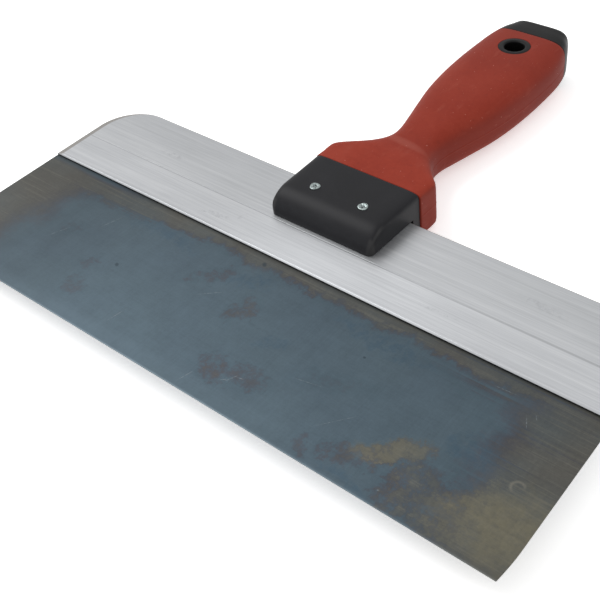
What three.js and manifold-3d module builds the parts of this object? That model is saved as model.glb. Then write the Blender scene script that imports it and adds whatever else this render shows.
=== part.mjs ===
// Drywall taping knife: a thin wide steel blade held in the slot of an aluminium backing, which a
// forked handle grips. The handle is a hard core with a soft grip moulded round it, riveted on.
//
// Millimetres. X runs along the blade's width, +Y from the working edge to the butt, +Z up.
// The origin is at the middle of the bounding box in X and Y, on the surface the knife lies on.
// The shapes are drawn with y = 0 at the backing's front lip and z = 0 at the blade's mid-plane,
// then moved there together at the end.
import * as THREE from 'three';
import { mergeVertices } from 'three/addons/utils/BufferGeometryUtils.js';
import Module from 'manifold-3d';

// Fit
const CLEARANCE = 0.3;

// Blade
const BLADE_WIDTH = 304.8;
const BLADE_EXPOSED = 76.2;
const BLADE_HELD = 20;
const BLADE_THICKNESS = 0.5;
const BLADE_LIP_GAP = 0.5;
const RELIEF_IN = 1;
const RELIEF_LENGTH = 13;

// Backing
const BACKING_DEPTH = 50.8;
const BACKING_HALF = 1.6;
const BACKING_CORNER_RADIUS = 22;
const BACKING_CORNER_STEPS = 14;
const LIP_BEVEL_WIDTH = 1.4;
const LIP_BEVEL_DROP = 0.6;
const END_BEVEL_WIDTH = 1.6;
const END_BEVEL_DROP = 0.7;
const CLOSING_GROOVE_WIDTH = 0.5;
const CLOSING_GROOVE_DEPTH = 0.12;

// Handle
const HANDLE_FRONT = 21.9;
const HANDLE_END = 214.2;
const HANDLE_TOP = 12.7;
const FRONT_ROUND = 11.6;
const FRONT_ROUND_STEPS = 8;
const FRONT_EDGE = 1.4;
const BOLSTER_FRONT_HALF = 28.4;
const BOLSTER_REAR_HALF = 29.1;
const BOLSTER_CORNER_RADIUS = 3;
const BOLSTER_SQUARENESS = 14;
const FORK_END_GAP = 1.5;
const GRIP_START = 57.4;
const GRIP_END = 200.8;
const GRIP_WALL = 2.6;
const STEM_OVERRUN = 2;
const SEAM = 0.15;

// Hang hole
const HANG_Y = 185;
const HANG_HOLE_RADIUS = 5.4;
const HANG_RING_RADIUS = 8.5;

// Rivets
const RIVET_X = 13.5;
const RIVET_Y = 37.3;
const RIVET_SHANK_RADIUS = 1.8;
const RIVET_TAIL_RADIUS = 2.35;
const RIVET_TAIL_RISE = 0.45;
const RIVET_HEAD_RADIUS = 3.4;
const RIVET_HEAD_RISE = 0.9;

// A cutting bar or block that is longer than anything it cuts through
const THROUGH = 90;

// How finely the round shapes are cut into flats
const RING_SIDES = 40;
const STEM_SIDES = 24;
const ROUND_SIDES = 40;
const RIVET_SIDES = 18;
const ROWS_PER_STATION = 2;

const wasm = await Module();
wasm.setup();

// Solids and meshes ------------------------------------------------------------------------------

function toSolid(geometry) {
  const bare = geometry.index ? geometry.toNonIndexed() : geometry.clone();
  bare.deleteAttribute('normal');
  bare.deleteAttribute('uv');
  const merged = mergeVertices(bare, 1e-4);
  return new wasm.Manifold(new wasm.Mesh({
    numProp: 3,
    vertProperties: new Float32Array(merged.attributes.position.array),
    triVerts: new Uint32Array(merged.index.array),
  }));
}

function toGeometry(solid) {
  const mesh = solid.getMesh();
  const geometry = new THREE.BufferGeometry();
  geometry.setAttribute('position', new THREE.BufferAttribute(mesh.vertProperties, 3));
  geometry.setIndex(new THREE.BufferAttribute(mesh.triVerts, 1));
  geometry.computeVertexNormals();
  return geometry;
}

function block(width, depth, height, x, y, z) {
  return toSolid(new THREE.BoxGeometry(width, depth, height).translate(x, y, z));
}

// An upright round bar centred on z = 0.
function post(radius, height, x, y) {
  const bar = new THREE.CylinderGeometry(radius, radius, height, ROUND_SIDES);
  return toSolid(bar.rotateX(Math.PI / 2).translate(x, y, 0));
}

// Blade ------------------------------------------------------------------------------------------

// A flat box with one row of corners at each of these distances along it, so that the exposed face
// has facets of its own, clear of the backing's lip.
function bladeGeometry() {
  const rows = [
    [-BLADE_EXPOSED, BLADE_WIDTH / 2 - RELIEF_IN],
    [-BLADE_EXPOSED + RELIEF_LENGTH, BLADE_WIDTH / 2],
    [-BLADE_LIP_GAP, BLADE_WIDTH / 2],
    [BLADE_HELD, BLADE_WIDTH / 2],
  ];
  const spans = rows.length - 1;
  const sheet = new THREE.BoxGeometry(2, spans, BLADE_THICKNESS, 1, spans, 1);
  const position = sheet.attributes.position;
  for (let i = 0; i < position.count; i += 1) {
    const [y, halfWidth] = rows[Math.round(position.getY(i) + spans / 2)];
    position.setXYZ(i, position.getX(i) * halfWidth, y, position.getZ(i));
  }
  return toGeometry(toSolid(sheet));
}

// Backing ----------------------------------------------------------------------------------------

// The closed end-on section, drawn as (y, z): a bevelled lip in front, the blade's slot in it, and
// a fine line above and below where the slot's jaws were pressed shut on the blade.
function backingSection() {
  const slotHalf = BLADE_THICKNESS / 2 + CLEARANCE;
  const slotEnd = BLADE_HELD + CLEARANCE;
  const grooveHalf = CLOSING_GROOVE_WIDTH / 2;
  const upper = [
    [slotEnd, slotHalf],
    [0, slotHalf],
    [0, BACKING_HALF - LIP_BEVEL_DROP],
    [LIP_BEVEL_WIDTH, BACKING_HALF],
    [BLADE_HELD - grooveHalf, BACKING_HALF],
    [BLADE_HELD, BACKING_HALF - CLOSING_GROOVE_DEPTH],
    [BLADE_HELD + grooveHalf, BACKING_HALF],
    [BACKING_DEPTH, BACKING_HALF],
  ];
  const lower = upper.map(([y, z]) => [y, -z]).reverse();
  return new THREE.Shape([...upper, ...lower].map(([y, z]) => new THREE.Vector2(y, z)));
}

function backingPlan() {
  const half = BLADE_WIDTH / 2;
  const front = -2 * END_BEVEL_WIDTH;
  const turn = BACKING_DEPTH - BACKING_CORNER_RADIUS;
  const outline = new THREE.Shape();
  outline.moveTo(-half, front);
  outline.lineTo(half, front);
  outline.lineTo(half, turn);
  outline.absarc(half - BACKING_CORNER_RADIUS, turn, BACKING_CORNER_RADIUS, 0, Math.PI / 2, false);
  outline.lineTo(-half + BACKING_CORNER_RADIUS, BACKING_DEPTH);
  outline.absarc(-half + BACKING_CORNER_RADIUS, turn, BACKING_CORNER_RADIUS, Math.PI / 2, Math.PI, false);
  outline.closePath();
  return outline;
}

function backingGeometry() {
  const depth = BLADE_WIDTH + 2;
  const section = new THREE.ExtrudeGeometry(backingSection(), { depth, bevelEnabled: false });
  // The section is drawn in (y, z) and pushed along its normal, so it turns onto the X axis.
  section.applyMatrix4(new THREE.Matrix4().makeBasis(
    new THREE.Vector3(0, 1, 0),
    new THREE.Vector3(0, 0, 1),
    new THREE.Vector3(1, 0, 0),
  ));
  section.translate(-depth / 2, 0, 0);
  const plan = new THREE.ExtrudeGeometry(backingPlan(), {
    depth: 2 * (BACKING_HALF - END_BEVEL_DROP),
    bevelEnabled: true,
    bevelThickness: END_BEVEL_DROP,
    bevelSize: END_BEVEL_WIDTH,
    bevelOffset: -END_BEVEL_WIDTH,
    bevelSegments: 1,
    curveSegments: BACKING_CORNER_STEPS,
  });
  plan.translate(0, 0, END_BEVEL_DROP - BACKING_HALF);
  let solid = toSolid(section).intersect(toSolid(plan));
  for (const side of [-1, 1]) {
    const hole = post(RIVET_SHANK_RADIUS + CLEARANCE, THROUGH, side * RIVET_X, RIVET_Y);
    solid = solid.subtract(hole);
  }
  return toGeometry(solid);
}

// Handle shape -----------------------------------------------------------------------------------

// Sections along the handle: [y, half width, half thickness, squareness]. A squareness of 2 is an
// ellipse and larger values near a rectangle with rounded corners.
const BODY_STATIONS = [
  [GRIP_START, 29.8, HANDLE_TOP, 12],
  [62, 29.8, HANDLE_TOP, 11],
  [67, 29.9, HANDLE_TOP, 11],
  [70, 29.0, HANDLE_TOP, 10],
  [73, 26.3, HANDLE_TOP, 9],
  [77, 22.8, 12.5, 6],
  [82, 18.6, 12.1, 4.4],
  [88, 14.9, 11.6, 3.6],
  [94, 13.3, 11.4, 3.2],
  [100, 13.5, 11.7, 3.1],
  [108, 15.1, 12.4, 3.1],
  [120, 18.1, 13.1, 3.1],
  [135, 21.5, 13.7, 3.2],
  [150, 23.5, 14.0, 3.2],
  [168, 24.5, 14.0, 3.2],
  [185, 24.4, 13.7, 3.2],
  [194, 23.3, 13.3, 3.7],
  [GRIP_END, 21.7, 12.9, 4.4],
];
const CAP_STATIONS = [
  [GRIP_END, 21.7, 12.9, 4.4],
  [206, 20.2, 12.8, 4.4],
  [210, 18.2, 12.6, 4.4],
  [212.6, 16.5, 12.4, 4.4],
  [213.7, 15.0, 12.1, 4.6],
  [HANDLE_END, 13.6, 11.5, 5],
];

// The hard front block: its top and underside roll over in a quarter round to the backing, and its
// front corners are rounded in plan.
function bolsterStations() {
  const rise = HANDLE_TOP - FRONT_EDGE;
  const stations = [];
  for (let i = 0; i <= FRONT_ROUND_STEPS; i += 1) {
    const turn = (i / FRONT_ROUND_STEPS) * (Math.PI / 2);
    const y = HANDLE_FRONT + FRONT_ROUND * (1 - Math.cos(turn));
    const beforeCorner = Math.max(0, 1 - (y - HANDLE_FRONT) / BOLSTER_CORNER_RADIUS);
    const cornerIn = BOLSTER_CORNER_RADIUS * (1 - Math.sqrt(1 - beforeCorner ** 2));
    const halfThickness = FRONT_EDGE + rise * Math.sin(turn);
    stations.push([y, BOLSTER_FRONT_HALF - cornerIn, halfThickness, BOLSTER_SQUARENESS]);
  }
  stations.push([GRIP_START - SEAM, BOLSTER_REAR_HALF, HANDLE_TOP, BOLSTER_SQUARENESS]);
  return stations;
}

// A smooth row of sections through the stations.
function smoothStations(stations, rowsPerStation) {
  const sizes = new THREE.CatmullRomCurve3(stations.map(([y, a, b]) => new THREE.Vector3(a, y, b)));
  const spans = stations.length - 1;
  const rows = spans * rowsPerStation;
  return Array.from({ length: rows + 1 }, (_, row) => {
    const along = row / rowsPerStation;
    const before = Math.min(spans - 1, Math.floor(along));
    const size = sizes.getPoint(row / rows);
    const square = THREE.MathUtils.lerp(stations[before][3], stations[before + 1][3], along - before);
    return [size.y, size.x, size.z, square];
  });
}

// A point of the unit circle moved onto the unit superellipse, one coordinate at a time.
function squaredOff(coordinate, square) {
  const size = Math.abs(coordinate) < 1e-6 ? 0 : Math.abs(coordinate) ** (2 / square);
  return Math.sign(coordinate) * size;
}

// A closed solid skinned over a row of sections, made from a cylinder whose rings take their sizes.
function skinned(rows, inset = 0, sides = RING_SIDES) {
  const last = rows.length - 1;
  const tube = new THREE.CylinderGeometry(1, 1, last, sides, last);
  const position = tube.attributes.position;
  for (let i = 0; i < position.count; i += 1) {
    const row = Math.round(position.getY(i) + last / 2);
    const [y, halfWidth, halfThickness, square] = rows[row];
    const x = squaredOff(position.getX(i), square) * (halfWidth - inset);
    const z = squaredOff(position.getZ(i), square) * (halfThickness - inset);
    position.setXYZ(i, x, y, z);
  }
  return toSolid(tube);
}

const bodyRows = smoothStations(BODY_STATIONS, ROWS_PER_STATION);
const capRows = smoothStations(CAP_STATIONS, ROWS_PER_STATION);

// The hard stem inside the grip, run a little way into the bolster and the cap.
function stem(inset) {
  const rows = [...BODY_STATIONS];
  rows.unshift([GRIP_START - STEM_OVERRUN, ...BODY_STATIONS.at(0).slice(1)]);
  rows.push([GRIP_END + STEM_OVERRUN, ...BODY_STATIONS.at(-1).slice(1)]);
  return skinned(rows, inset, STEM_SIDES);
}

// Handle core ------------------------------------------------------------------------------------

function hangBoss() {
  const ring = post(HANG_RING_RADIUS, THROUGH, 0, HANG_Y);
  return ring.intersect(skinned(bodyRows));
}

function handleCoreGeometry() {
  let solid = skinned(bolsterStations());
  solid = solid.add(stem(GRIP_WALL));
  solid = solid.add(skinned(capRows.map(([y, ...size]) => [Math.max(y, GRIP_END + SEAM), ...size])));
  solid = solid.add(hangBoss());
  solid = solid.subtract(post(HANG_HOLE_RADIUS, THROUGH, 0, HANG_Y));
  const forkEnd = BACKING_DEPTH + FORK_END_GAP;
  const forkHeight = 2 * (BACKING_HALF + CLEARANCE);
  solid = solid.subtract(block(THROUGH, THROUGH, forkHeight, 0, forkEnd - THROUGH / 2, 0));
  for (const side of [-1, 1]) {
    const hole = post(RIVET_SHANK_RADIUS + CLEARANCE, THROUGH, side * RIVET_X, RIVET_Y);
    solid = solid.subtract(hole);
  }
  return toGeometry(solid);
}

// Soft grip --------------------------------------------------------------------------------------

function softGripGeometry() {
  let solid = skinned(bodyRows);
  solid = solid.subtract(stem(GRIP_WALL - CLEARANCE));
  solid = solid.subtract(post(HANG_RING_RADIUS + CLEARANCE, THROUGH, 0, HANG_Y));
  return toGeometry(solid);
}

// Rivets -----------------------------------------------------------------------------------------

// A semi-tubular rivet: an oval head under the handle, a shank, and the tail clinched out on top
// with the hollow of the tube left in its middle.
function rivetGeometry() {
  const underside = -HANDLE_TOP;
  // Each head as [share of its radius, share of its rise], from the middle out or from the rim in.
  const domedHead = [[0, 1], [0.45, 0.92], [0.8, 0.6], [1, 0]];
  const clinchedTail = [[1, 0], [0.85, 1], [0.5, 0.8], [0, 0.3]];
  const profile = [
    ...domedHead.map(([r, h]) => [r * RIVET_HEAD_RADIUS, underside - h * RIVET_HEAD_RISE]),
    [RIVET_SHANK_RADIUS, underside],
    [RIVET_SHANK_RADIUS, HANDLE_TOP],
    ...clinchedTail.map(([r, h]) => [r * RIVET_TAIL_RADIUS, HANDLE_TOP + h * RIVET_TAIL_RISE]),
  ];
  const points = profile.map(([radius, height]) => new THREE.Vector2(radius, height));
  return new THREE.LatheGeometry(points, RIVET_SIDES).rotateX(Math.PI / 2);
}

// Materials --------------------------------------------------------------------------------------

const bluedSteel = new THREE.MeshStandardMaterial({ color: 0x55666f, roughness: 0.45, metalness: 0.9 });
const aluminium = new THREE.MeshStandardMaterial({ color: 0xc2c4c6, roughness: 0.4, metalness: 0.9 });
const blackPlastic = new THREE.MeshStandardMaterial({ color: 0x2c2d2f, roughness: 0.5, metalness: 0 });
const redRubber = new THREE.MeshStandardMaterial({ color: 0x8f3f33, roughness: 0.75, metalness: 0 });
const platedSteel = new THREE.MeshStandardMaterial({ color: 0xc9cfd0, roughness: 0.3, metalness: 1 });

// Assembly ---------------------------------------------------------------------------------------

const knife = new THREE.Group();
const gripHalfThickness = Math.max(...bodyRows.map(([, , halfThickness]) => halfThickness));
const rest = new THREE.Vector3(0, (BLADE_EXPOSED - HANDLE_END) / 2, gripHalfThickness);

function addPiece(name, geometry, material, x = 0, y = 0) {
  const mesh = new THREE.Mesh(geometry, material.clone());
  mesh.name = name;
  mesh.position.set(rest.x + x, rest.y + y, rest.z);
  knife.add(mesh);
}

addPiece('blade', bladeGeometry(), bluedSteel);
addPiece('backing', backingGeometry(), aluminium);
addPiece('handle_core', handleCoreGeometry(), blackPlastic);
addPiece('soft_grip', softGripGeometry(), redRubber);
addPiece('rivet_left', rivetGeometry(), platedSteel, -RIVET_X, RIVET_Y);
addPiece('rivet_right', rivetGeometry(), platedSteel, RIVET_X, RIVET_Y);

export default knife;
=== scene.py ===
"""The looks of a drywall taping knife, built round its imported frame.

Shapes are drawn in millimetres, with x along the blade, y = 0 at the backing's front lip and z = 0
at the blade's mid-plane, and are then moved to where the frame holds the lip and the mid-plane.
"""
import math

import bmesh
import bpy
import numpy as np
from mathutils import Matrix, Vector


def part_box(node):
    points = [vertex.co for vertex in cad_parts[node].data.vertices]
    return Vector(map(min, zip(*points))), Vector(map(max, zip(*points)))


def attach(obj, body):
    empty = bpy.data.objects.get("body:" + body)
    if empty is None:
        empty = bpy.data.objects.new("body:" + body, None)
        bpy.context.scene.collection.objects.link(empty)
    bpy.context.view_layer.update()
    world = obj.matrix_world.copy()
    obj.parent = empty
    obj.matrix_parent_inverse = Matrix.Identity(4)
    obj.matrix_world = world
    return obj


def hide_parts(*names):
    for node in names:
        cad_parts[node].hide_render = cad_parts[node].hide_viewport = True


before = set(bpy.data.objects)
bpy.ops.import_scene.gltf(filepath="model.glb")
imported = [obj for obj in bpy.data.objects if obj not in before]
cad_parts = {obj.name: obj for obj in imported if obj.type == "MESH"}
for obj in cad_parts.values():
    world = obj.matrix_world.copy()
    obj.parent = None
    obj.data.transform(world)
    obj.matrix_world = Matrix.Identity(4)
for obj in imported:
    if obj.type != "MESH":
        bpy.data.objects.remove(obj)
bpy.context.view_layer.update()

blade_low, blade_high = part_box("blade")
backing_low, backing_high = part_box("backing")
core_low, core_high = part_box("handle_core")

# The drawing's sizes are in millimetres; ORIGIN is where its zero lies in the frame, in metres.
MM = 0.001
ORIGIN = Vector((0, backing_low.y, (blade_low.z + blade_high.z) / 2))

# Blade
BLADE_HALF = blade_high.x / MM
BLADE_EDGE_Y = (blade_low.y - ORIGIN.y) / MM
BLADE_HELD = (blade_high.y - ORIGIN.y) / MM
BLADE_HALF_THICKNESS = (blade_high.z - blade_low.z) / 2 / MM
RELIEF_IN = 1
RELIEF_LENGTH = 13
RELIEF_CURVE = 1.6
RELIEF_STEPS = 8
BLADE_CHAMFER = 0.07
GROUND_EDGE = 0.35          # how far the working edge's chamfer runs back
BLADE_SHARP = 12            # degrees: shading breaks at edges sharper than a piece's own value

# Backing
BACKING_DEPTH = (backing_high.y - backing_low.y) / MM
BACKING_HALF = (backing_high.z - backing_low.z) / 2 / MM
CORNER_RADIUS = 22
CORNER_STEPS = 26
LIP_BEVEL = 0.8
END_BEVEL = 3.2
REAR_BEVEL = 0.6
BEVEL_DROP = 0.55
EDGE_ROUND = 0.12
SLOT_HALF = 0.5
CLOSING_LINE_HALF = 0.3
CLOSING_LINE_DEPTH = 0.05
BACKING_SHARP = 9

# Handle
HANDLE_FRONT = (core_low.y - ORIGIN.y) / MM
HANDLE_END = (core_high.y - ORIGIN.y) / MM
HANDLE_TOP = 12.7
FRONT_ROUND = 11.6
FRONT_EDGE = 1.9
BOLSTER_FRONT_HALF = 28.4
BOLSTER_REAR_HALF = 29.1
BOLSTER_CORNER = 3
BOLSTER_SQUARENESS = 14
FRONT_ROUND_STEPS = 30
FORK_END = 52.3
FORK_GAP = 0.12
FORK_REACH = 40             # how far the bar that cuts the fork's slot runs to each side
GRIP_START = 57.4
GRIP_END = 200.8
SEAM = 0.12
GRIP_WALL = 2.6
GRIP_EDGE_ROUND = 0.35
CORE_EDGE_ROUND = 0.3
PARTING_HEIGHT = 0.14
PARTING_HALF = 0.2
STEM_GAP = 0.05
STEM_ROWS = 60
ROW_STEP = 1.1
CAP_ROW_STEP = 0.5
CLOSE = 0.003               # points nearer than this are joined
HANDLE_SHARP = 32

# Hang hole
HANG_Y = 185
HOLE_RADIUS = 5.4
RING_RADIUS = 8.5
RING_ROUND = 0.9
RING_DEPTH = 3
RING_GAP = 0.06
RING_SHARP = 38
HOLE_SIDES = 96
HOLE_REACH = 30             # how far the cylinders that cut holes run above and below

# Rivets
RIVET_X = 13.5
RIVET_Y = 37.3
RIVET_SHANK = 1.75
RIVET_HOLE = 1.9
RIVET_TAIL = 2.4
RIVET_HEAD = 3.4
RIVET_STEP = 0.02           # the height over which the head and the tail draw in to the shank
PETAL_RISE = 0.16
RIVET_SIDES = 72
RIVET_SHARP = 50

# Sections along the handle: [y, half width, half thickness, squareness], where 2 is an ellipse
BODY_STATIONS = [
    [57.4, 29.8, 12.7, 12], [62, 29.8, 12.7, 11], [67, 29.9, 12.7, 11], [68.8, 29.8, 12.7, 10.5],
    [70.2, 29.1, 12.7, 10], [72, 27.3, 12.7, 9.4], [74.5, 24.9, 12.6, 7.8], [77, 22.8, 12.5, 6],
    [82, 18.6, 12.1, 4.4], [88, 14.9, 11.6, 3.6],
    [94, 13.3, 11.4, 3.2], [100, 13.5, 11.7, 3.1], [108, 15.1, 12.4, 3.1], [120, 18.1, 13.1, 3.1],
    [135, 21.5, 13.7, 3.2], [150, 23.5, 14.0, 3.2], [168, 24.5, 14.0, 3.2], [185, 24.4, 13.7, 3.2],
    [194, 23.3, 13.3, 3.7], [200.8, 21.7, 12.9, 4.4],
]
CAP_STATIONS = [
    [200.8, 21.7, 12.9, 4.4], [206, 20.2, 12.8, 4.4], [210, 18.2, 12.6, 4.4],
    [212.8, 16.8, 12.4, 4.6], [213.8, 15.9, 12.1, 5], [214.2, 14.9, 11.7, 5.5],
]


# Meshes ------------------------------------------------------------------------------------------

def placed(points):
    """Drawing points in millimetres as points of the frame in metres."""
    return np.asarray(points, float) * MM + np.array(ORIGIN)


def new_object(name, points, faces):
    """A mesh object in the scene, from drawing points and faces of their numbers."""
    mesh = bpy.data.meshes.new(name)
    mesh.from_pydata(placed(points).tolist(), [], faces)
    made = bpy.data.objects.new(name, mesh)
    bpy.context.scene.collection.objects.link(made)
    return made


def stacked(name, rings, closed=False):
    """A closed body over rings of points: the last ring joins the first, or both ends get a face."""
    rings = np.asarray(rings, float)
    count, sides = rings.shape[:2]
    faces = []
    for row in range(count if closed else count - 1):
        after = (row + 1) % count
        for side in range(sides):
            beside = (side + 1) % sides
            faces.append((row * sides + side, row * sides + beside,
                          after * sides + beside, after * sides + side))
    if not closed:
        faces.append(tuple(reversed(range(sides))))
        faces.append(tuple(range((count - 1) * sides, count * sides)))
    made = new_object(name, rings.reshape(-1, 3), faces)
    face_outward(made)
    return made


def face_outward(made):
    """Turns a closed body's faces round if they look inward."""
    work = bmesh.new()
    work.from_mesh(made.data)
    if work.calc_volume(signed=True) < 0:
        bmesh.ops.reverse_faces(work, faces=work.faces)
    work.to_mesh(made.data)
    work.free()


def shade(made, sharp_degrees):
    """Joins near-coincident points, then shades smooth but for edges sharper than this angle."""
    work = bmesh.new()
    work.from_mesh(made.data)
    bmesh.ops.remove_doubles(work, verts=work.verts, dist=CLOSE * MM)
    bmesh.ops.dissolve_degenerate(work, edges=work.edges, dist=CLOSE * MM)
    for face in work.faces:
        face.smooth = True
    for edge in work.edges:
        edge.smooth = edge.calc_face_angle(0) < math.radians(sharp_degrees)
    work.to_mesh(made.data)
    work.free()


def cut(made, *cutters):
    """Takes the cutters out of the body and removes them."""
    for cutter in cutters:
        step = made.modifiers.new("cut", "BOOLEAN")
        step.operation = "DIFFERENCE"
        step.solver = "EXACT"
        step.object = cutter
    bpy.context.view_layer.update()
    seen = made.evaluated_get(bpy.context.evaluated_depsgraph_get())
    mesh = bpy.data.meshes.new_from_object(seen)
    made.modifiers.clear()
    made.data = mesh
    for cutter in cutters:
        bpy.data.objects.remove(cutter)


def round_cutter(radius, x, y):
    """A cylinder along z that runs out of both sides of the knife."""
    turns = np.linspace(0, 2 * math.pi, HOLE_SIDES, endpoint=False)
    ring = np.stack([x + radius * np.cos(turns), y + radius * np.sin(turns)], axis=1)
    rings = [np.column_stack([ring, np.full(HOLE_SIDES, z)]) for z in (-HOLE_REACH, HOLE_REACH)]
    return stacked("cutter", rings)


def rivet_hole_cutters():
    """A cylinder for each of the two rivets' holes."""
    return [round_cutter(RIVET_HOLE, x, RIVET_Y) for x in (-RIVET_X, RIVET_X)]


def bar_cutter(section, half_length):
    """A bar along x, with its section given as (y, z) corners."""
    section = np.asarray(section, float)
    rings = [np.column_stack([np.full(len(section), x), section])
             for x in (-half_length, half_length)]
    return stacked("cutter", rings)


# Flat plates -------------------------------------------------------------------------------------

def arc(centre, radii, start, end, steps):
    """Points on an ellipse's arc between two angles in degrees."""
    turns = np.radians(np.linspace(start, end, steps + 1))
    return [(centre[0] + radii[0] * math.cos(t), centre[1] + radii[1] * math.sin(t)) for t in turns]


def at_height(outline, z):
    """An outline's (x, y) points as (x, y, z) points."""
    outline = np.asarray(outline, float)
    return np.column_stack([outline, np.full(len(outline), z)])


def mirrored_plate(name, levels, outline_at):
    """A plate alike above and below: levels are (height, how far its outline has drawn in)."""
    under = [at_height(outline_at(inward), -z) for z, inward in reversed(levels)]
    over = [at_height(outline_at(inward), z) for z, inward in levels]
    return stacked(name, under + over)


def blade_outline(inward):
    """The blade's plan, drawn in by this much, with the relief that narrows its working corners."""
    half = BLADE_HALF - inward
    edge = BLADE_EDGE_Y + inward * GROUND_EDGE / BLADE_CHAMFER
    side = []
    for step in range(RELIEF_STEPS + 1):
        share = step / RELIEF_STEPS
        relief = RELIEF_IN * (1 - share) ** RELIEF_CURVE
        side.append((half - relief, edge + RELIEF_LENGTH * share))
    side.append((half, BLADE_HELD - inward))
    return side + [(-x, y) for x, y in reversed(side)]


def build_blade():
    top = BLADE_HALF_THICKNESS
    rounded = (top - BLADE_CHAMFER / 4, BLADE_CHAMFER * 0.6)
    levels = [(top - BLADE_CHAMFER, 0), rounded, (top, BLADE_CHAMFER)]
    blade = mirrored_plate("blade_sheet", levels, blade_outline)
    shade(blade, BLADE_SHARP)
    return blade


def backing_outline(share):
    """The backing's plan, drawn in by this share of the bevel that each of its edges has."""
    end, rear = share * END_BEVEL, share * REAR_BEVEL
    half = BLADE_HALF - end
    middle = (BLADE_HALF - CORNER_RADIUS, BACKING_DEPTH - CORNER_RADIUS)
    radii = (CORNER_RADIUS - end, CORNER_RADIUS - rear)
    side = [(half, share * LIP_BEVEL)] + arc(middle, radii, 0, 90, CORNER_STEPS)
    return side + [(-x, y) for x, y in reversed(side)]


def closing_line_cutter(side):
    """A fine groove that runs along the backing where its jaws are pressed on the blade."""
    surface = side * BACKING_HALF
    section = [
        (BLADE_HELD - CLOSING_LINE_HALF, surface + side),
        (BLADE_HELD - CLOSING_LINE_HALF, surface),
        (BLADE_HELD, surface - side * CLOSING_LINE_DEPTH),
        (BLADE_HELD + CLOSING_LINE_HALF, surface),
        (BLADE_HELD + CLOSING_LINE_HALF, surface + side),
    ]
    return bar_cutter(section, BLADE_HALF + 1)


def build_backing():
    shoulder = BACKING_HALF - BEVEL_DROP
    # (height, share of the bevels' width that the outline has drawn in)
    levels = [
        (shoulder - EDGE_ROUND, 0),
        (shoulder, 0.04),
        (shoulder + EDGE_ROUND / 2, 0.12),
        (BACKING_HALF - EDGE_ROUND / 2, 0.9),
        (BACKING_HALF - EDGE_ROUND / 8, 0.98),
        (BACKING_HALF, 1.05),
    ]
    backing = mirrored_plate("backing_extrusion", levels, backing_outline)
    slot_end = BLADE_HELD + SLOT_HALF
    slot = [(-1, -SLOT_HALF), (slot_end, -SLOT_HALF), (slot_end, SLOT_HALF), (-1, SLOT_HALF)]
    cut(
        backing,
        bar_cutter(slot, BLADE_HALF + 1),
        closing_line_cutter(1),
        closing_line_cutter(-1),
        *rivet_hole_cutters(),
    )
    shade(backing, BACKING_SHARP)
    return backing


# Handle shapes -----------------------------------------------------------------------------------

SECTION_STEPS = 38      # points in a quarter of a section
FINE_STEPS = 500        # points that a quarter is measured with
CORNER_WEIGHT = 5       # millimetres of outline that a radian of turn counts as
PARTING_STEPS = [0, 0.1, 0.22, 0.4, 0.7]    # where the parting ridge needs points
PARTING_CLEAR = 0.3     # the shortest distance from them to the other points
SMALLEST_STEP = 0.1     # what may be left of that distance once the count is made up


def quarter_section(half_width, half_thickness, squareness):
    """A quarter of a superellipse from (half width, 0) to (0, half thickness), closer in corners."""
    turns = np.linspace(0, math.pi / 2, FINE_STEPS)
    reach = ((np.cos(turns) / half_width) ** squareness
             + (np.sin(turns) / half_thickness) ** squareness) ** (-1 / squareness)
    fine = np.stack([reach * np.cos(turns), reach * np.sin(turns)], axis=1)
    steps = np.diff(fine, axis=0)
    lengths = np.hypot(*steps.T)
    headings = np.unwrap(np.arctan2(steps[:, 1], steps[:, 0]))
    bends = np.abs(np.diff(headings, prepend=headings[0]))
    travelled = np.concatenate([[0], np.cumsum(lengths)])
    weighed = np.concatenate([[0], np.cumsum(lengths + CORNER_WEIGHT * bends)])
    share = np.linspace(0, weighed[-1], SECTION_STEPS + 1)[1:]
    # Distances along the outline: the ridge's own points and then the others, made up in number
    marks = np.interp(share, weighed, travelled)
    marks = np.concatenate([PARTING_STEPS, marks[marks > PARTING_STEPS[-1] + PARTING_CLEAR]])
    places = np.linspace(0, 1, SECTION_STEPS + 1)
    marks = np.interp(places, np.linspace(0, 1, len(marks)), marks)
    fixed = len(PARTING_STEPS)
    marks[:fixed] = PARTING_STEPS
    marks[fixed:] = np.maximum(marks[fixed:], PARTING_STEPS[-1] + SMALLEST_STEP)
    x = np.interp(marks, travelled, fine[:, 0])
    z = np.interp(marks, travelled, fine[:, 1])
    x[-1] = 0
    z[-1] = half_thickness
    return np.stack([x, z], axis=1)


def section_ring(y, half_width, half_thickness, squareness, ridge=0):
    """A whole section, with a fine parting ridge where the two halves of the mould met."""
    quarter = quarter_section(half_width, half_thickness, squareness)
    off_middle = quarter[:, 0] > 1
    quarter[:, 0] += ridge * np.exp(-(quarter[:, 1] / PARTING_HALF) ** 2) * off_middle
    upper_left = (quarter * [-1, 1])[::-1][1:]
    lower_left = (quarter * [-1, -1])[1:]
    lower_right = (quarter * [1, -1])[::-1][1:-1]
    outline = np.concatenate([quarter, upper_left, lower_left, lower_right])
    return np.column_stack([outline[:, 0], np.full(len(outline), y), outline[:, 1]])


def smooth_row(stations, y):
    """The sizes at y on a smooth curve through the stations."""
    rows = np.array(stations, float)
    slopes = np.gradient(rows[:, 1:], rows[:, 0], axis=0)
    after = int(np.clip(np.searchsorted(rows[:, 0], y), 1, len(rows) - 1))
    start, end = rows[after - 1], rows[after]
    span = end[0] - start[0]
    t = (y - start[0]) / span
    from_start = start[1:] * (2 * t**3 - 3 * t**2 + 1)
    leaving = slopes[after - 1] * span * (t**3 - 2 * t**2 + t)
    to_end = end[1:] * (3 * t**2 - 2 * t**3)
    arriving = slopes[after] * span * (t**3 - t**2)
    return from_start + leaving + (to_end + arriving)


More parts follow.
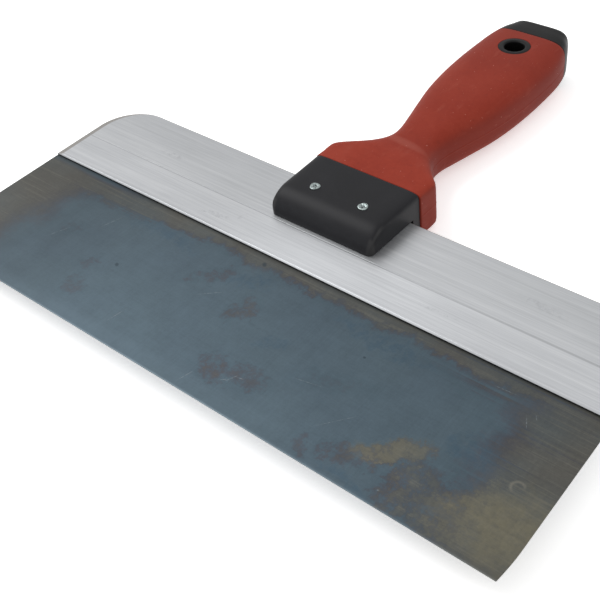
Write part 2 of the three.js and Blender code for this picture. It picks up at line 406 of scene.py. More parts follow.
# A rounded end edge: (share of its radius from the end, share of its radius drawn in)
END_ROUNDING = [(0, 1), (0.12, 0.62), (0.3, 0.3), (0.6, 0.07), (1, 0)]


def rows_between(start, end, edge_round, step=ROW_STEP):
    """Distances along the handle with how far each row draws in to round the two end edges."""
    rows = [(start + at * edge_round, inward * edge_round) for at, inward in END_ROUNDING]
    inner_start, inner_end = rows[-1][0], end - edge_round
    count = max(2, round((inner_end - inner_start) / step))
    rows += [(y, 0) for y in np.linspace(inner_start, inner_end, count + 1)[1:-1]]
    rows += [(end - at * edge_round, inward * edge_round) for at, inward in END_ROUNDING[::-1]]
    return rows


def body_ring(stations, y, inward, ridge=0):
    """The handle's section at y, drawn in by this much."""
    half_width, half_thickness, squareness = smooth_row(stations, y)
    return section_ring(y, half_width - inward, half_thickness - inward, squareness, ridge)


def body_height(x, y):
    """The height of the grip's upper surface above the mid-plane."""
    half_width, half_thickness, squareness = smooth_row(BODY_STATIONS, y)
    return half_thickness * (1 - abs(x / half_width) ** squareness) ** (1 / squareness)


def build_grip():
    """The soft grip: a sleeve with rounded end edges and a hole for the hang ring."""
    outer_rows = rows_between(GRIP_START + SEAM / 2, GRIP_END - SEAM / 2, GRIP_EDGE_ROUND)
    outer = [body_ring(BODY_STATIONS, y, inward, PARTING_HEIGHT) for y, inward in outer_rows]
    between = [station[0] for station in reversed(BODY_STATIONS[1:-1])]
    inner_ys = [outer_rows[-1][0], *between, outer_rows[0][0]]
    inner = [body_ring(BODY_STATIONS, y, GRIP_WALL) for y in inner_ys]
    grip = stacked("soft_grip_sleeve", outer + inner, closed=True)
    cut(grip, round_cutter(RING_RADIUS + RING_GAP, 0, HANG_Y))
    shade(grip, HANDLE_SHARP)
    return grip


def build_stem():
    """The hard stem inside the grip, from the bolster to the cap."""
    ys = np.linspace(GRIP_START + SEAM, GRIP_END - SEAM, STEM_ROWS)
    rings = [body_ring(BODY_STATIONS, y, GRIP_WALL + STEM_GAP) for y in ys]
    stem = stacked("core_stem", rings)
    cut(stem, round_cutter(RING_RADIUS + RING_GAP, 0, HANG_Y))
    shade(stem, HANDLE_SHARP)
    return stem


def bolster_half(y):
    """The bolster's half width, which grows from its front to the grip."""
    along = (y - HANDLE_FRONT) / (GRIP_START - HANDLE_FRONT)
    return BOLSTER_FRONT_HALF + along * (BOLSTER_REAR_HALF - BOLSTER_FRONT_HALF)


def build_bolster():
    """The forked front block: its top and underside roll over to the backing in a quarter round."""
    rise = HANDLE_TOP - FRONT_EDGE
    rows = []
    for step in range(FRONT_ROUND_STEPS + 1):
        turn = step / FRONT_ROUND_STEPS * math.pi / 2
        y = HANDLE_FRONT + FRONT_ROUND * (1 - math.cos(turn))
        before_corner = max(0, 1 - (y - HANDLE_FRONT) / BOLSTER_CORNER)
        corner_in = BOLSTER_CORNER * (1 - math.sqrt(1 - before_corner**2))
        rows.append((y, bolster_half(y) - corner_in, FRONT_EDGE + rise * math.sin(turn)))
    after_round = rows_between(rows[-1][0], GRIP_START - SEAM / 2, CORE_EDGE_ROUND)
    for y, inward in after_round[len(END_ROUNDING):]:
        rows.append((y, bolster_half(y) - inward, HANDLE_TOP - inward))
    rings = [section_ring(y, half, top, BOLSTER_SQUARENESS) for y, half, top in rows]
    bolster = stacked("bolster", rings)
    slot_half = BACKING_HALF + FORK_GAP
    slot = [(0, -slot_half), (FORK_END, -slot_half), (FORK_END, slot_half), (0, slot_half)]
    cut(
        bolster,
        bar_cutter(slot, FORK_REACH),
        *rivet_hole_cutters(),
    )
    shade(bolster, HANDLE_SHARP)
    return bolster


def build_cap():
    """The black end of the handle, which narrows to the butt."""
    rows = rows_between(GRIP_END + SEAM / 2, HANDLE_END, CORE_EDGE_ROUND, step=CAP_ROW_STEP)
    cap = stacked("butt_cap", [body_ring(CAP_STATIONS, y, inward) for y, inward in rows])
    shade(cap, HANDLE_SHARP)
    return cap


def build_hang_ring():
    """The black ring round the hang hole: it follows the grip's crown and rounds into the hole."""
    turns = np.linspace(0, 2 * math.pi, HOLE_SIDES, endpoint=False)
    # (radius, height over the grip's surface)
    profile = [(RING_RADIUS, -0.35), (RING_RADIUS - 0.12, -0.08), (RING_RADIUS - 0.35, 0)]
    profile.append((HOLE_RADIUS + RING_ROUND * 1.4, 0))
    for degrees in (15, 30, 45, 60, 75, 90):
        turn = math.radians(degrees)
        radius = HOLE_RADIUS + RING_ROUND * (1 - math.sin(turn))
        profile.append((radius, -RING_ROUND * (1 - math.cos(turn))))
    profile.append((HOLE_RADIUS, -RING_DEPTH))

    def ring(radius, over, side):
        xs = radius * np.cos(turns)
        ys = HANG_Y + radius * np.sin(turns)
        return [(x, y, side * (body_height(x, y) + over)) for x, y in zip(xs, ys)]

    upper = [ring(radius, over, 1) for radius, over in profile]
    lower = [ring(radius, over, -1) for radius, over in reversed(profile)]
    made = stacked("hang_ring", upper + lower, closed=True)
    shade(made, RING_SHARP)
    return made


# Rivets ------------------------------------------------------------------------------------------

def rivet_ring(radius, z, lobes, phase):
    """A ring of a clinched rivet: its rim is pressed out into three lobes of this share."""
    turns = np.linspace(0, 2 * math.pi, RIVET_SIDES, endpoint=False)
    radii = radius * (1 + lobes * np.cos(3 * (turns - phase)))
    return np.column_stack([radii * np.cos(turns), radii * np.sin(turns), np.full(len(turns), z)])


def petal_heights(ring, rise, phase):
    """Raises the three uneven petals of a peened tail between the creases that part them."""
    turns = np.arctan2(ring[:, 1], ring[:, 0])
    ring[:, 2] += rise * (np.abs(np.cos(1.5 * (turns - phase))) ** 0.5 - 0.6)
    ring[:, 2] += rise * (0.3 * np.cos(turns + 3 * phase) + 0.2 * np.cos(5 * turns + phase))
    return ring


# The formed head, from its middle: (share of its radius, height)
HEAD_PROFILE = [(0.02, 0.9), (0.25, 0.89), (0.5, 0.83), (0.72, 0.68), (0.88, 0.44), (0.97, 0.2),
                (1, 0.04)]
# The clinched tail, from its rim: (share of its radius, height, how far its lobes stand out)
TAIL_PROFILE = [(1.0, 0.1, 0.055), (0.99, 0.26, 0.055), (0.92, 0.4, 0.05), (0.8, 0.47, 0.04),
                (0.66, 0.44, 0.03), (0.52, 0.32, 0.02), (0.4, 0.18, 0.01), (0.3, 0.12, 0),
                (0.16, 0.16, 0), (0.02, 0.17, 0)]


def build_rivet(name, side, phase):
    """A rivet with its head below and its clinched tail on top; phase turns the tail's petals."""
    top, bottom = HANDLE_TOP, -HANDLE_TOP
    rings = [rivet_ring(RIVET_HEAD * share, bottom - height, 0, 0) for share, height in HEAD_PROFILE]
    rings += [
        rivet_ring(RIVET_HEAD * 0.97, bottom, 0, 0),
        rivet_ring(RIVET_SHANK, bottom + RIVET_STEP, 0, 0),
        rivet_ring(RIVET_SHANK, top - RIVET_STEP, 0, 0),
        rivet_ring(RIVET_TAIL * 0.96, top, 0.03, phase),
    ]
    for share, height, lobes in TAIL_PROFILE:
        ring = rivet_ring(RIVET_TAIL * share, top + height, lobes, phase)
        rise = PETAL_RISE * math.sin(math.pi * share) ** 0.6
        rings.append(petal_heights(ring, rise, phase))
    rings = [ring + [side * RIVET_X, RIVET_Y, 0] for ring in rings]
    made = stacked(name, rings)
    shade(made, RIVET_SHARP)
    return made


# Materials ---------------------------------------------------------------------------------------

def tone(code):
    """A colour such as "8f3f33", as linear values."""
    values = [int(code[i:i + 2], 16) / 255 for i in (0, 2, 4)]
    return [v / 12.92 if v <= 0.04045 else ((v + 0.055) / 1.055) ** 2.4 for v in values] + [1]


class Paint:
    """A Principled material, with short calls that add nodes to it and join them."""

    def __init__(self, name, metallic, roughness, specular=0.5):
        self.material = bpy.data.materials.new(name)
        self.material.use_nodes = True
        self.nodes = self.material.node_tree.nodes
        self.surface = self.nodes["Principled BSDF"]
        self.surface.inputs["Metallic"].default_value = metallic
        self.surface.inputs["Roughness"].default_value = roughness
        self.surface.inputs["Specular IOR Level"].default_value = specular
        coordinates = self.nodes.new("ShaderNodeTexCoord")
        mapping = self.nodes.new("ShaderNodeMapping")
        mapping.vector_type = "TEXTURE"
        mapping.inputs["Location"].default_value = ORIGIN
        mapping.inputs["Scale"].default_value = (MM, MM, MM)
        self.join(coordinates.outputs["Object"], mapping.inputs["Vector"])
        self.place = mapping.outputs["Vector"]
        self.x, self.y, self.z = self.split(self.place)

    def join(self, source, socket):
        self.material.node_tree.links.new(source, socket)

    def give(self, socket, value):
        """Sets a socket to a number or colour, or joins another socket to it."""
        if isinstance(value, bpy.types.NodeSocket):
            self.join(value, socket)
        else:
            socket.default_value = value

    def split(self, vector):
        node = self.nodes.new("ShaderNodeSeparateXYZ")
        self.join(vector, node.inputs[0])
        return node.outputs[0], node.outputs[1], node.outputs[2]

    def math(self, operation, *values):
        node = self.nodes.new("ShaderNodeMath")
        node.operation = operation
        for socket, value in zip(node.inputs, values):
            self.give(socket, value)
        return node.outputs[0]

    def add(self, a, b):
        return self.math("ADD", a, b)

    def times(self, a, b):
        return self.math("MULTIPLY", a, b)

    def weigh(self, a, share_a, b, share_b):
        """Two values, added in these shares."""
        return self.add(self.times(a, share_a), self.times(b, share_b))

    def swing(self, value, size):
        """Moves noise round 0 and scales it."""
        return self.times(self.add(value, -0.5), size)

    def most(self, a, b):
        return self.math("MAXIMUM", a, b)

    def between(self, value, low, high):
        """0 at low, 1 at high, and smooth between them; low may be the larger."""
        node = self.nodes.new("ShaderNodeMapRange")
        node.interpolation_type = "SMOOTHSTEP"
        self.give(node.inputs["Value"], value)
        node.inputs["From Min"].default_value = low
        node.inputs["From Max"].default_value = high
        return node.outputs["Result"]

    def noise(self, scale, detail=2.0, roughness=0.5, stretch=(1, 1, 1), shift=(0, 0, 0)):
        """Noise with features about 1/scale millimetres wide, drawn out along each axis by stretch."""
        mapping = self.nodes.new("ShaderNodeMapping")
        mapping.inputs["Scale"].default_value = [1 / s for s in stretch]
        mapping.inputs["Location"].default_value = shift
        self.join(self.place, mapping.inputs["Vector"])
        node = self.nodes.new("ShaderNodeTexNoise")
        node.inputs["Scale"].default_value = scale
        node.inputs["Detail"].default_value = detail
        node.inputs["Roughness"].default_value = roughness
        self.join(mapping.outputs["Vector"], node.inputs["Vector"])
        return node.outputs["Fac"]

    def ramp(self, value, stops):
        node = self.nodes.new("ShaderNodeValToRGB")
        elements = node.color_ramp.elements
        while len(elements) < len(stops):
            elements.new(0.5)
        for element, (position, colour) in zip(elements, stops):
            element.position = position
            element.color = tone(colour)
        self.give(node.inputs["Fac"], value)
        return node.outputs["Color"]

    def tint(self, base, mask, share, code):
        """The base colour with this share of another colour laid over it where the mask is 1."""
        node = self.nodes.new("ShaderNodeMix")
        node.data_type = "RGBA"
        self.give(node.inputs[0], self.times(mask, share))
        self.give(node.inputs[6], base)
        self.give(node.inputs[7], tone(code))
        return node.outputs[2]

    def brighten(self, colour, amount):
        """The colour times a socket's value."""
        node = self.nodes.new("ShaderNodeVectorMath")
        node.operation = "SCALE"
        self.join(colour, node.inputs[0])
        self.give(node.inputs["Scale"], amount)
        return node.outputs[0]

    def spot(self, x, y, long, wide, turn, u=None, v=None):
        """1 in the middle of an oval patch and 0 at its rim; u and v are the place looked up."""
        c, s = math.cos(math.radians(turn)), math.sin(math.radians(turn))
        dx, dy = self.add(u or self.x, -x), self.add(v or self.y, -y)
        along = self.weigh(dx, c / long, dy, s / long)
        across = self.weigh(dy, c / wide, dx, -s / wide)
        squares = self.add(self.times(along, along), self.times(across, across))
        return self.between(squares, 1.0, 0.0)

    def facing(self):
        """How squarely the surface faces up or down: 1 on flat tops, 0 on upright walls."""
        node = self.nodes.new("ShaderNodeNewGeometry")
        return self.math("ABSOLUTE", self.split(node.outputs["Normal"])[2])

    def bump(self, height, depth, strength=1.0):
        """Moves the shading by a height of this many millimetres."""
        node = self.nodes.new("ShaderNodeBump")
        node.inputs["Strength"].default_value = strength
        node.inputs["Distance"].default_value = depth * MM
        self.join(height, node.inputs["Height"])
        self.join(node.outputs["Normal"], self.surface.inputs["Normal"])

    def colour(self, socket):
        self.join(socket, self.surface.inputs["Base Color"])

    def roughness(self, value, low, high):
        node = self.nodes.new("ShaderNodeMapRange")
        self.join(value, node.inputs["Value"])
        node.inputs["To Min"].default_value = low
        node.inputs["To Max"].default_value = high
        self.join(node.outputs["Result"], self.surface.inputs["Roughness"])


# The blade's steel, from the blue field at 0 to the olive margins at 1
TEMPER_COLOURS = [(0.0, "4c5b65"), (0.2, "495963"), (0.42, "484f58"), (0.6, "4b4b4e"),
                  (0.8, "52514d"), (1.0, "565550")]
# Patches of temper tint, and bluer ones: [x, y, half length, half width, turn, strength]
TINTS = [
    [-22, -20, 17, 6, 50, 0.75], [-31, -29, 6, 4, 30, 0.6], [1, -30, 13, 9, 70, 0.9],
    [-73, -46, 8, 5, 100, 0.6], [-71, -60, 10, 7, 90, 0.65], [13, -60, 11, 10, 0, 0.85],
    [30, -58, 16, 7, 8, 0.7], [97, -54, 18, 8, 25, 2.2], [84, -63, 14, 9, 30, 0.9],
    [68, -71, 10, 5, -40, 0.75], [112, -62, 20, 13, 30, 1.3], [141, -56, 24, 25, 0, 2.0],
    [122, -71, 26, 8, 0, 1.3], [60, -40, 26, 7, 20, 0.4], [-100, -34, 12, 7, 20, 0.5],
]
BLUE_SPOTS = [[-6, -16, 15, 6, 20, 0.5], [24, -38, 9, 5, 40, 0.4], [118, -38, 14, 8, 0, 0.5],
              [60, -14, 34, 5, 0, 0.5], [-60, -14, 30, 5, 0, 0.45], [90, -73, 14, 3, 0, 0.5]]
# Small marks on the blade, and scuffs on the backing: [x, y, half length, half width, turn]
DARK_SPOTS = [[-8.6, -5, 1.9, 1.3, -40], [-63.6, -40.5, 1.6, 1.1, -35], [60, -24, 0.9, 0.7, 0]]
SCRATCHES = [[127, -16.5, 3.6, 0.28, -60], [129, -13, 1.6, 0.25, -55], [24, -61, 3.2, 0.3, 65],
             [27, -59, 2.2, 0.25, 10], [22, -63, 2.0, 0.22, 40], [113, -8, 6, 0.22, 4],
             [-16, -31, 7, 0.2, 40], [50, -46, 8, 0.16, 12], [101, -70, 0.8, 0.5, 0],
             [-88, -22, 9, 0.18, 72], [-104, -40, 7, 0.16, 66], [-40, -62, 6, 0.16, 80],
             [70, -55, 10, 0.15, 50], [8, -70, 5, 0.16, 75]]
SCUFFS = [[-48, 8, 9, 2.4, 8], [-37, 14, 5, 1.4, 60], [-56, 6, 3, 0.8, 20],
          [70, 11, 12, 1.2, 2], [-100, 30, 10, 2, 3], [104, 36, 14, 2.6, -4]]
# The middle of a ring-shaped stain on the blade
STAIN_X, STAIN_Y = 139, -42.5
# Where the blade darkens: [axis, where that starts, where it is full, share of the light lost]
# The first row is painted shade on the blade along the backing's lip
DARKER_PARTS = [["y", -2.6, -0.2, 0.25], ["y", -24, -8, 0.06], ["x", -50, -105, 0.21],
                ["y", -64, -76, 0.07]]


def blade_temper(p, u, v, patchy, streak, speckle):
    """How far the steel's colour has gone from the blue field, at 0, to the olive margins, at 1."""
    left_lean = p.add(u, p.times(p.y, -0.28))
    left = p.times(p.between(left_lean, -90, -136), 0.95)
    right = p.times(p.between(u, 104, 144), p.between(streak, 0.1, 0.52))
    band_edge = p.add(v, p.times(p.between(p.x, -30, -100), 6))
    lip_streaks = p.times(p.between(band_edge, -11.5, -3), p.between(streak, 0.2, 0.46))
    temper = p.most(p.most(left, right), p.times(lip_streaks, 0.9))
    upper_right = p.times(p.between(u, 62, 120), p.between(v, -24, -3))
    temper = p.most(temper, p.times(upper_right, p.between(streak, 0.36, 0.62)))
    shares = p.add(p.times(patchy, 0.5), 0.26)
    for *oval, strength in TINTS:
        patch = p.times(p.spot(*oval, u, v), strength)
        temper = p.most(temper, p.times(patch, shares))
    blue_corner = p.times(p.between(p.x, -70, -120), p.between(p.y, -4.5, -1))
    temper = p.math("SUBTRACT", temper, p.times(blue_corner, 0.75))
    return p.add(temper, p.swing(speckle, 0.42))


def blade_stain(p):
    """1 on the rim of a round stain that is open to one side."""
    dx, dy = p.add(p.x, -STAIN_X), p.add(p.y, -STAIN_Y)
    reach = p.math("SQRT", p.add(p.times(dx, dx), p.times(dy, dy)))
    rim = p.times(p.between(reach, 3.4, 2.4), p.between(reach, 1.5, 2.4))
    return p.times(rim, p.between(p.add(dx, p.times(dy, -1)), 2.6, -1.0))


def paint_blade():
    """Blue tempered steel: a blue field in olive margins, with tinted patches and fine grain."""
    p = Paint("blued_steel", metallic=0.72, roughness=0.42)
    slow_x = p.swing(p.noise(0.05, 2, 0.5), 22)
    slow_y = p.swing(p.noise(0.06, 2, 0.5, shift=(40, 9, 0)), 14)
    fine_x = p.swing(p.noise(0.3, 5, 0.72, shift=(11, 3, 0)), 16)
    fine_y = p.swing(p.noise(0.3, 5, 0.72, shift=(2, 17, 0)), 12)
    u = p.add(p.x, p.add(slow_x, fine_x))
    v = p.add(p.y, p.add(slow_y, fine_y))
    grain = p.noise(1.5, 3, 0.6, stretch=(90, 1, 1))
    cross_grain = p.noise(1.2, 3, 0.6, stretch=(1, 60, 1), shift=(7, 0, 0))
    streak = p.noise(0.42, 3, 0.65, stretch=(70, 1, 1), shift=(0, 31, 0))
    speckle = p.noise(0.8, 5, 0.8, shift=(3, 5, 0))
    patchy = p.between(p.noise(0.22, 5, 0.75, shift=(6, 2, 0)), 0.34, 0.62)
    temper = blade_temper(p, u, v, patchy, streak, speckle)
    tints = p.ramp(temper, TEMPER_COLOURS)

    slow = p.between(p.noise(0.03, 2, 0.5, shift=(5, 70, 0)), 0.3, 0.7)
    tints = p.tint(tints, slow, 0.35, "516169")
    for *oval, strength in BLUE_SPOTS:
        tints = p.tint(tints, p.times(p.spot(*oval, u, v), strength), patchy, "3c5262")
    tints = p.tint(tints, p.between(u, -110, -140), 0.35, "5a5954")
    olive = p.between(temper, 0.55, 1.0)
    lines = p.between(p.noise(1.1, 3, 0.7, stretch=(45, 1, 1), shift=(0, 4, 0)), 0.5, 0.66)
    tints = p.tint(tints, p.times(olive, lines), 0.6, "67665f")
    corner_gold = p.spot(145, -58, 32, 20, 15, u, v)
    patch_gold = p.times(p.spot(95, -54, 19, 8, 25, u, v), 0.6)
    gold_share = p.add(p.times(patchy, 0.35), 0.5)
    tints = p.tint(tints, p.most(corner_gold, patch_gold), gold_share, "6f6b5a")
    for oval in DARK_SPOTS:
        tints = p.tint(tints, p.spot(*oval), 0.7, "2c3840")
    hair = p.between(p.noise(0.9, 2, 0.6, shift=(8, 8, 0)), 0.4, 0.6)
    scratch_share = p.add(p.times(hair, 0.5), 0.1)
    for oval in SCRATCHES:
        tints = p.tint(tints, p.spot(*oval), scratch_share, "828a8e")
    tints = p.tint(tints, blade_stain(p), 0.5, "827f74")

    shading = p.add(0.80, p.weigh(grain, 0.17, cross_grain, 0.15))
    cloudy = p.noise(0.07, 5, 0.75, shift=(33, 7, 0))
    shading = p.add(shading, p.add(p.swing(speckle, 0.3), p.swing(cloudy, 0.4)))
    # the first of these rows paints the shade along the backing's lip
    for axis, start, full, lost in DARKER_PARTS:
        place = p.x if axis == "x" else p.y
        shading = p.times(shading, p.add(1, p.times(p.between(place, start, full), -lost)))
    ground = p.between(p.y, BLADE_EDGE_Y + 0.9, BLADE_EDGE_Y + 0.2)
    p.colour(p.tint(p.brighten(tints, shading), ground, 0.12, "7c8488"))
    p.roughness(p.weigh(grain, 0.6, p.noise(0.2, 2), 0.4), 0.34, 0.52)
    p.bump(p.add(grain, p.times(cross_grain, 0.5)), 0.012)
    return p.material


def backing_bevel(p):
    """1 on the backing's bevelled ends, rounded corners and rear edge, going by the plan."""
    past_x = p.most(p.add(p.math("ABSOLUTE", p.x), CORNER_RADIUS - BLADE_HALF), 0)
    past_y = p.most(p.add(p.y, CORNER_RADIUS - BACKING_DEPTH), 0)
    share_x = p.times(past_x, 1 / (CORNER_RADIUS - END_BEVEL))
    share_y = p.times(past_y, 1 / (CORNER_RADIUS - REAR_BEVEL))
    reach = p.add(p.times(share_x, share_x), p.times(share_y, share_y))
    return p.between(reach, 0.97, 1.0)


def paint_backing():
    """Drawn aluminium, brushed along its length, with browner sawn edges, painted lip shade and
    painted light.
    """
    p = Paint("backing_aluminium", metallic=0.85, roughness=0.36)
    hair = p.noise(2.6, 4, 0.7, stretch=(160, 1, 1))
    lines = p.noise(0.55, 3, 0.6, stretch=(400, 1, 1), shift=(0, 12, 0))
    cloud = p.noise(0.03, 3, 0.55, stretch=(3, 1, 1))
    brush = p.noise(0.9, 4, 0.75, stretch=(26, 1, 1), shift=(5, 2, 0))
    mixed = p.add(p.weigh(hair, 0.3, lines, 0.3), p.weigh(brush, 0.25, cloud, 0.15))
    metal = p.ramp(mixed, [(0.34, "b0b2b5"), (0.5, "c4c6c9"), (0.66, "d6d7d9")])
    rear = p.between(p.y, BLADE_HELD - 0.3, BLADE_HELD + 0.5)
    metal = p.tint(metal, rear, 0.12, "b3b5b6")
    rear_right = p.times(p.between(p.x, 20, 120), p.between(p.y, 18, 40))
    metal = p.tint(metal, rear_right, 0.2, "a9acad")
    metal = p.tint(metal, backing_bevel(p), 0.8, "908b84")
    # Painted shade: the lip's bevel is darkened to damp its highlight and its front face painted near
    # black
    lip = p.times(p.between(p.facing(), 0.99, 0.96), p.between(p.y, 1.1, 0.9))
    metal = p.tint(metal, lip, 0.6, "a4a6a9")
    lip_face_shade = p.times(p.between(p.facing(), 0.6, 0.3), p.between(p.y, 1.4, 1.0))
    metal = p.tint(metal, lip_face_shade, 0.9, "303336")
    from_line = p.math("ABSOLUTE", p.add(p.y, -BLADE_HELD))
    metal = p.tint(metal, p.between(from_line, 0.9, 0.1), 0.5, "8b8d8f")
    scuff_noise = p.between(p.noise(0.5, 4, 0.75, shift=(3, 3, 0)), 0.45, 0.62)
    for oval in SCUFFS:
        metal = p.tint(metal, p.times(p.spot(*oval), scuff_noise), 0.45, "a2a4a8")
    # Painted light: the backing is darker towards its left end and lighter in the middle, most on the
    # front strip
    middle = p.times(p.between(p.x, -50, 10), p.between(p.x, 110, 50))
    front_strip = p.between(p.y, BLADE_HELD + 1, BLADE_HELD - 1)
    painted_light_along = p.add(0.88, p.times(p.between(p.x, -60, 10), 0.17))
    painted_light_along = p.add(painted_light_along, p.times(p.times(middle, front_strip), 0.1))
    p.colour(p.brighten(metal, painted_light_along))
    p.roughness(p.weigh(hair, 0.6, cloud, 0.4), 0.28, 0.48)
    p.bump(p.add(hair, lines), 0.01)
    return p.material


def paint_black():
    """Satin black plastic with a fine spark-eroded grain, painted highlight on its edges, painted
    sheen and shade.
    """
    p = Paint("black_plastic", metallic=0.0, roughness=0.4, specular=0.18)
    grain = p.noise(3.2, 3, 0.6)
    cloud = p.noise(0.06, 3, 0.6)
    blend = p.weigh(grain, 0.55, cloud, 0.45)
    base = p.ramp(blend, [(0.32, "151518"), (0.5, "1a1a1d"), (0.68, "212124")])
    # Painted shade: the black grows nearly black towards the butt
    base = p.tint(base, p.between(p.y, 150, 190), 0.9, "050505")
    # Painted highlight down the bolster's rounded front corners and along its upper side edges
    across = p.math("ABSOLUTE", p.x)
    corner = p.between(across, 25.2, 26.6)
    corner = p.times(corner, p.between(p.y, HANDLE_FRONT + 3.6, HANDLE_FRONT + 2.4))
    edge = p.times(p.between(across, 27.0, 27.9), p.between(across, 28.5, 28.1))
    edge = p.times(edge, p.between(p.y, HANDLE_FRONT + 12, HANDLE_FRONT + 7))
    highlight_share = p.add(p.times(p.between(cloud, 0.35, 0.65), 0.3), 0.25)
    base = p.tint(base, p.most(corner, edge), highlight_share, "484847")
    dust = p.between(p.noise(0.9, 3, 0.7, shift=(9, 2, 5)), 0.67, 0.76)
    base = p.tint(base, dust, 0.22, "404044")
    # Painted sheen: a lighter, bluer tone in patches on faces that slope
    sloped_sheen = p.times(p.between(p.facing(), 0.9, 0.6), p.between(p.facing(), 0.2, 0.5))
    base = p.tint(base, sloped_sheen, p.times(p.noise(0.3, 2), 0.3), "343538")
    p.colour(base)
    p.roughness(p.weigh(cloud, 0.6, grain, 0.4), 0.36, 0.54)
    p.bump(grain, 0.035, 0.6)
    return p.material


def paint_grip():
    """Soft red grip: matte, finely stippled, paler where it rubs, a few pale specks, painted shade and
    highlight.
    """
    p = Paint("red_grip", metallic=0.0, roughness=0.62, specular=0.1)
    p.surface.inputs["Sheen Weight"].default_value = 0.03
    p.surface.inputs["Sheen Roughness"].default_value = 0.45
    stipple = p.noise(4.2, 2, 0.5)
    cloud = p.noise(0.045, 3, 0.6)
    mottle = p.noise(0.5, 3, 0.65, shift=(4, 8, 1))
    blend = p.add(p.weigh(cloud, 0.5, mottle, 0.3), p.times(stipple, 0.2))
    base = p.ramp(blend, [(0.32, "802a1c"), (0.5, "893122"), (0.68, "903829")])
    # Painted shade at the neck and towards the butt
    shade_neck_and_butt = p.most(p.between(p.y, 120, 180), p.times(p.between(p.y, 78, 90), 0.6))
    base = p.tint(base, shade_neck_and_butt, 0.35, "69221a")
    # Painted shade on the grip's upright sides
    base = p.tint(base, p.between(p.facing(), 0.75, 0.15), 0.55, "601f16")
    # Painted highlight across the top of the neck
    saddle_highlight = p.times(p.spot(0, 87, 17, 3.4, -7), p.between(p.z, 4, 9))
    base = p.tint(base, saddle_highlight, 0.17, "ad6f63")
    scuffed = p.between(p.noise(0.22, 4, 0.7, stretch=(1, 4, 1)), 0.56, 0.7)
    base = p.tint(base, scuffed, 0.25, "8f4538")
    specks = p.between(p.noise(1.1, 1, 0.4, shift=(21, 5, 3)), 0.775, 0.8)
    base = p.tint(base, specks, 0.55, "c99a90")
    grime = p.between(p.noise(0.35, 3, 0.6, shift=(2, 60, 2)), 0.6, 0.75)
    base = p.tint(base, grime, 0.3, "65251d")
    p.colour(base)
    p.roughness(p.weigh(cloud, 0.5, mottle, 0.5), 0.52, 0.72)
    p.bump(p.add(stipple, p.times(mottle, 0.5)), 0.05, 0.7)
    return p.material


def paint_rivet():
    """Bright zinc on steel, with painted shade low in the tail and tool marks on the petals."""
    p = Paint("rivet_steel", metallic=0.9, roughness=0.3)
    marks = p.noise(1.6, 4, 0.7)
    fine = p.noise(7, 2, 0.6)
    blend = p.weigh(marks, 0.7, fine, 0.3)
    base = p.ramp(blend, [(0.34, "4e5455"), (0.5, "98a3a2"), (0.64, "ccd5d4")])
    # Painted shade low in the clinched tail, round its foot and in its hollow
    hollow_shade = p.between(p.z, HANDLE_TOP + 0.3, HANDLE_TOP + 0.1)
    above = p.between(p.z, HANDLE_TOP - 0.02, HANDLE_TOP + 0.02)
    p.colour(p.tint(base, p.times(hollow_shade, above), 0.85, "353b3c"))
    p.roughness(marks, 0.22, 0.5)
    p.bump(p.add(marks, p.times(fine, 0.3)), 0.05)
    return p.material


def paint_floor():
    """A near-white floor that glows a little, so that shadows on it stay pale."""
    p = Paint("floor", metallic=0.0, roughness=0.9, specular=0.1)
    p.colour(p.ramp(p.noise(0.01, 2), [(0.3, "f6f6f6"), (0.7, "fafafa")]))
    p.surface.inputs["Emission Color"].default_value = (1, 1, 1, 1)
    p.surface.inputs["Emission Strength"].default_value = 0.45
    return p.material


# Pieces ------------------------------------------------------------------------------------------

def put(piece, material, node):
    piece.data.materials.clear()
    piece.data.materials.append(material)
    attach(piece, "root")
    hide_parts(node)


black = paint_black()
rivet_steel = paint_rivet()
put(build_blade(), paint_blade(), "blade")
put(build_backing(), paint_backing(), "backing")
put(build_bolster(), black, "handle_core")
put(build_stem(), black, "handle_core")
put(build_hang_ring(), black, "handle_core")
put(build_cap(), black, "handle_core")
put(build_grip(), paint_grip(), "soft_grip")
put(build_rivet("clinched_rivet_left", -1, 0.5), rivet_steel, "rivet_left")
put(build_rivet("clinched_rivet_right", 1, 1.5), rivet_steel, "rivet_right")

# Stage -------------------------------------------------------------------------------------------

# From here on places and sizes are in metres, the camera's angles in degrees, its lens in millimetres
FLOOR_HALF = 6.0
floor_mesh = bpy.data.meshes.new("floor")
floor_corners = [(x * FLOOR_HALF, y * FLOOR_HALF, 0) for x, y in ((-1, -1), (1, -1), (1, 1), (-1, 1))]
floor_mesh.from_pydata(floor_corners, [], [(0, 1, 2, 3)])
floor_mesh.materials.append(paint_floor())
floor = bpy.data.objects.new("floor", floor_mesh)
bpy.context.scene.collection.objects.link(floor)

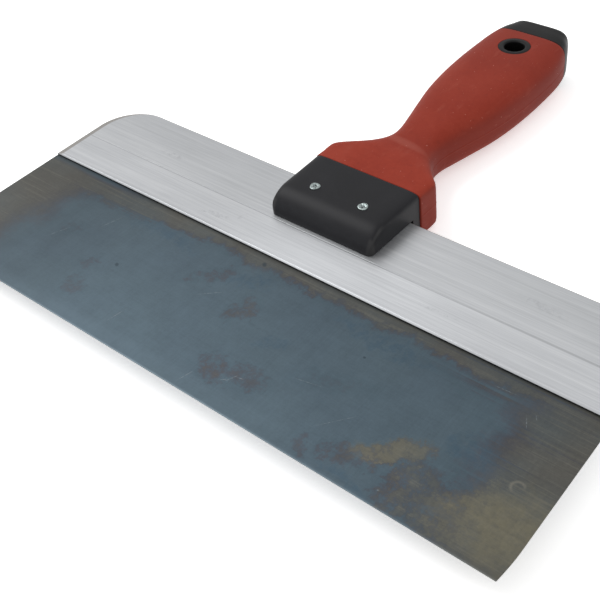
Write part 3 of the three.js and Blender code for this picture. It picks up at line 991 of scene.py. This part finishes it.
CAMERA_AZIMUTH = 41.48
CAMERA_ELEVATION = 43.88
CAMERA_ROLL = 5.70
CAMERA_PLACE = Vector((0.22937, -0.28387, 0.29050))
CAMERA_LENS = 58.53
CAMERA_SENSOR = 36
CAMERA_SHIFT_X = -0.1
NEAREST_SEEN = 0.01
KEY_PLACE = (-0.9, -0.2, 1.2)
KEY_SIZE = (0.9, 0.9)
KEY_POWER = 11
ROOM_LIGHT = 0.8


def add_camera():
    azimuth, rise = math.radians(CAMERA_AZIMUTH), math.radians(CAMERA_ELEVATION)
    back = Vector((math.sin(azimuth) * math.cos(rise), -math.cos(azimuth) * math.cos(rise),
                   math.sin(rise)))
    turned = back.to_track_quat("Z", "Y").to_matrix().to_4x4()
    data = bpy.data.cameras.new("camera")
    data.lens = CAMERA_LENS
    data.sensor_width = CAMERA_SENSOR
    data.shift_x = CAMERA_SHIFT_X
    data.clip_start = NEAREST_SEEN
    camera = bpy.data.objects.new("camera", data)
    roll = Matrix.Rotation(math.radians(-CAMERA_ROLL), 4, "Z")
    camera.matrix_world = Matrix.Translation(CAMERA_PLACE) @ turned @ roll
    bpy.context.scene.collection.objects.link(camera)
    bpy.context.scene.camera = camera


def add_softbox(name, place, size, power):
    """A rectangular light that faces the frame's zero."""
    data = bpy.data.lights.new(name, "AREA")
    data.shape = "RECTANGLE"
    data.size, data.size_y = size
    data.energy = power
    light = bpy.data.objects.new(name, data)
    light.location = place
    light.rotation_mode = "QUATERNION"
    light.rotation_quaternion = (Vector((0, 0, 0)) - Vector(place)).to_track_quat("-Z", "Y")
    bpy.context.scene.collection.objects.link(light)


def light_room():
    world = bpy.data.worlds.new("studio")
    world.use_nodes = True
    background = world.node_tree.nodes["Background"]
    background.inputs["Color"].default_value = (1, 1, 1, 1)
    background.inputs["Strength"].default_value = ROOM_LIGHT
    bpy.context.scene.world = world
    add_softbox("key", KEY_PLACE, KEY_SIZE, KEY_POWER)
    bpy.context.scene.view_settings.view_transform = "Standard"


add_camera()
light_room()
